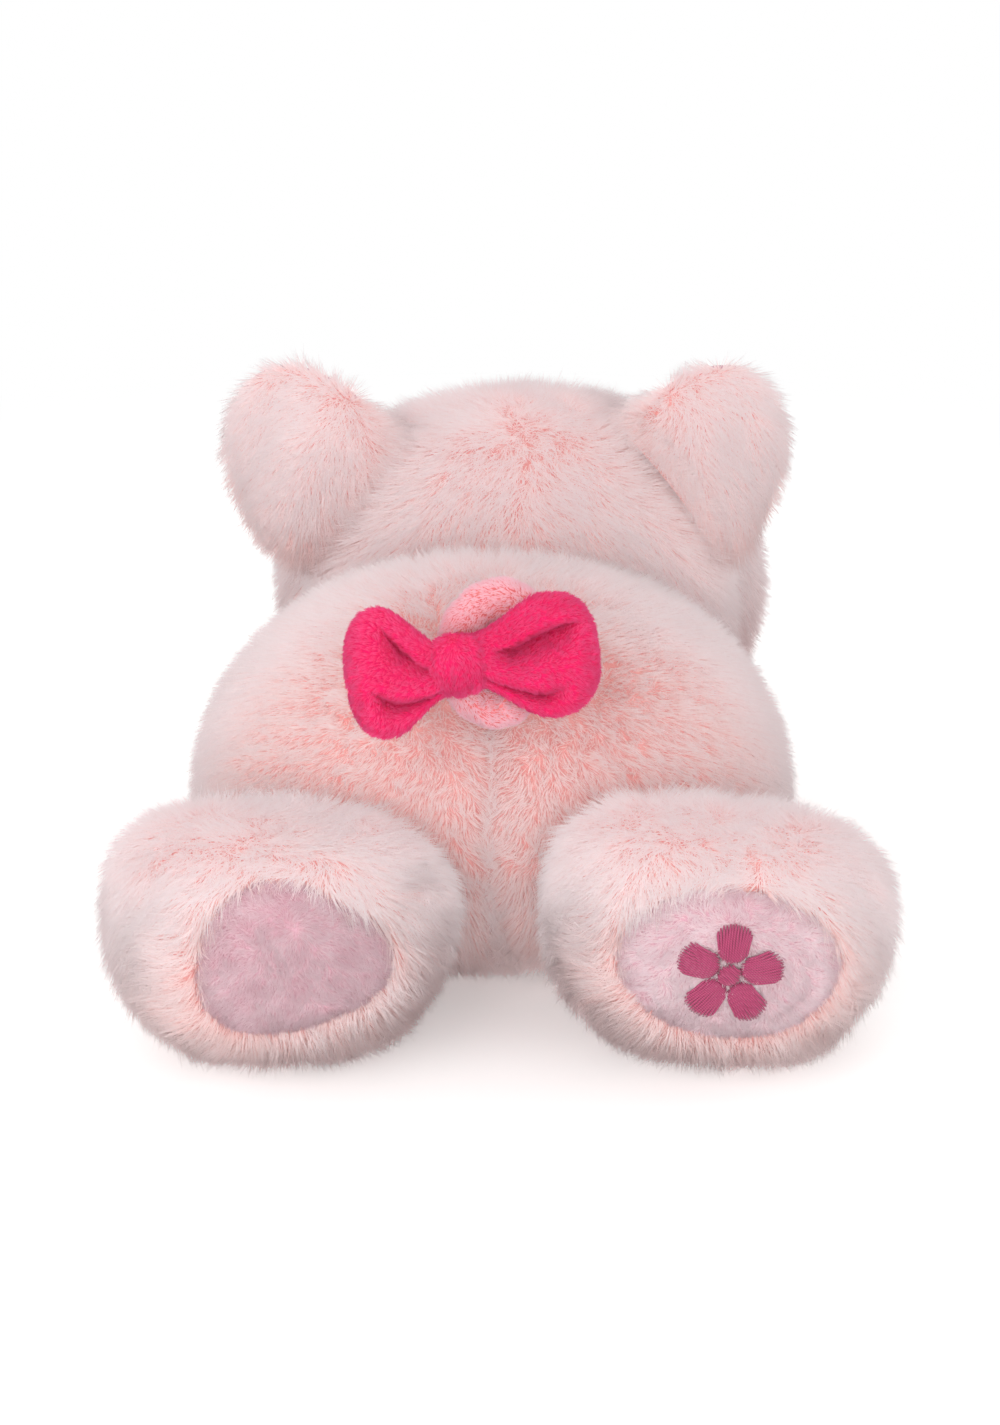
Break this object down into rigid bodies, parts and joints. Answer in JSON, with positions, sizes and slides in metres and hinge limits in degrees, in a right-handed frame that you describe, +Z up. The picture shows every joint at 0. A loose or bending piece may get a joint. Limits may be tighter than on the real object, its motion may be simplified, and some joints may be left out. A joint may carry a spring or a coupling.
{
  "type": "plush pig toy",
  "caption": "Stuffed plush pig lying on its belly, with soft jointed legs, head and ears, a curly tail carrying a bow, and sole pads with a stitched flower.",
  "frame": {"origin": "on the floor, under the middle of the body, where the belly rests", "axes": "+Z up, +Y from tail to snout, +X to the right as seen from behind"},
  "size_m": [0.2595, 0.3384, 0.178],
  "materials": {
    "plush": "pale pink long-pile plush with coral roots",
    "short_pile": "pale mauve-pink short pile",
    "salmon_pile": "salmon short pile",
    "bow_pile": "hot pink short pile",
    "thread": "dark rose satin-stitch embroidery thread",
    "fibre": "white loose fibre filling",
    "eye_plastic": "glossy black",
    "washer_plastic": "matte white"
  },
  "bodies": {
    "body": {"body_cover": "plush", "body_filling": "fibre"},
    "neck": {"neck_seam": "plush"},
    "head": {"head_cover": "plush", "head_filling": "fibre", "snout_cover": "salmon_pile", "snout_filling": "fibre", "nostril_left": "thread", "nostril_right": "thread", "eye_left": "eye_plastic", "eye_right": "eye_plastic", "eye_washer_left": "washer_plastic", "eye_washer_right": "washer_plastic"},
    "ear_left": {"ear_left_back": "plush", "ear_left_lining": "short_pile"},
    "ear_right": {"ear_right_back": "plush", "ear_right_lining": "short_pile"},
    "hind_leg_left": {"hind_leg_left_cover": "plush", "hind_leg_left_filling": "fibre", "hind_leg_left_sole": "short_pile"},
    "hind_leg_right": {"hind_leg_right_cover": "plush", "hind_leg_right_filling": "fibre", "hind_leg_right_sole": "short_pile", "sole_flower": "thread"},
    "front_leg_left": {"front_leg_left_cover": "plush", "front_leg_left_filling": "fibre", "front_leg_left_sole": "short_pile"},
    "front_leg_right": {"front_leg_right_cover": "plush", "front_leg_right_filling": "fibre", "front_leg_right_sole": "short_pile"},
    "tail": {"tail_cover": "salmon_pile", "tail_filling": "fibre"},
    "bow": {"bow_band": "bow_pile", "bow_loop_left": "bow_pile", "bow_loop_right": "bow_pile"}
  },
  "joints": [
    {"name": "head_turn", "type": "hinge", "parent": "body", "child": "neck", "pos_m": [0.011, 0.097, 0.086], "axis": [0, 0, 1], "range_deg": [-18, 18], "stiffness_Nm_per_rad": 0.2},
    {"name": "head_nod", "type": "hinge", "parent": "neck", "child": "head", "pos_m": [0.011, 0.097, 0.086], "axis": [1, 0, 0], "range_deg": [-8, 8], "stiffness_Nm_per_rad": 0.4},
    {"name": "ear_fold_left", "type": "hinge", "parent": "head", "child": "ear_left", "pos_m": [-0.05808, 0.08081, 0.13746], "axis": [0.6692, 0.2541, 0.6983], "range_deg": [-20, 20], "stiffness_Nm_per_rad": 0.03},
    {"name": "ear_fold_right", "type": "hinge", "parent": "head", "child": "ear_right", "pos_m": [0.06808, 0.08081, 0.13746], "axis": [0.6692, -0.2541, -0.6983], "range_deg": [-20, 20], "stiffness_Nm_per_rad": 0.03},
    {"name": "hind_leg_lift_left", "type": "hinge", "parent": "body", "child": "hind_leg_left", "pos_m": [-0.064, -0.046, 0.046], "axis": [1, 0, 0], "range_deg": [-18, 10], "stiffness_Nm_per_rad": 0.1},
    {"name": "hind_leg_lift_right", "type": "hinge", "parent": "body", "child": "hind_leg_right", "pos_m": [0.064, -0.046, 0.046], "axis": [1, 0, 0], "range_deg": [-18, 10], "stiffness_Nm_per_rad": 0.1},
    {"name": "front_leg_splay_left", "type": "hinge", "parent": "body", "child": "front_leg_left", "pos_m": [-0.08, 0.032, 0.0295], "axis": [0, 0, 1], "range_deg": [0, 28], "stiffness_Nm_per_rad": 0.05},
    {"name": "front_leg_splay_right", "type": "hinge", "parent": "body", "child": "front_leg_right", "pos_m": [0.08, 0.032, 0.0295], "axis": [0, 0, 1], "range_deg": [-28, 0], "stiffness_Nm_per_rad": 0.05},
    {"name": "tail_wag", "type": "hinge", "parent": "body", "child": "tail", "pos_m": [0, -0.04408, 0.12553], "axis": [0, 0.8746, 0.4848], "range_deg": [-14, 14], "stiffness_Nm_per_rad": 0.03},
    {"name": "bow_twist", "type": "hinge", "parent": "tail", "child": "bow", "pos_m": [-0.01081, -0.07878, 0.1247], "axis": [0, -0.9397, 0.3419], "range_deg": [-12, 12], "stiffness_Nm_per_rad": 0.01}
  ]
}
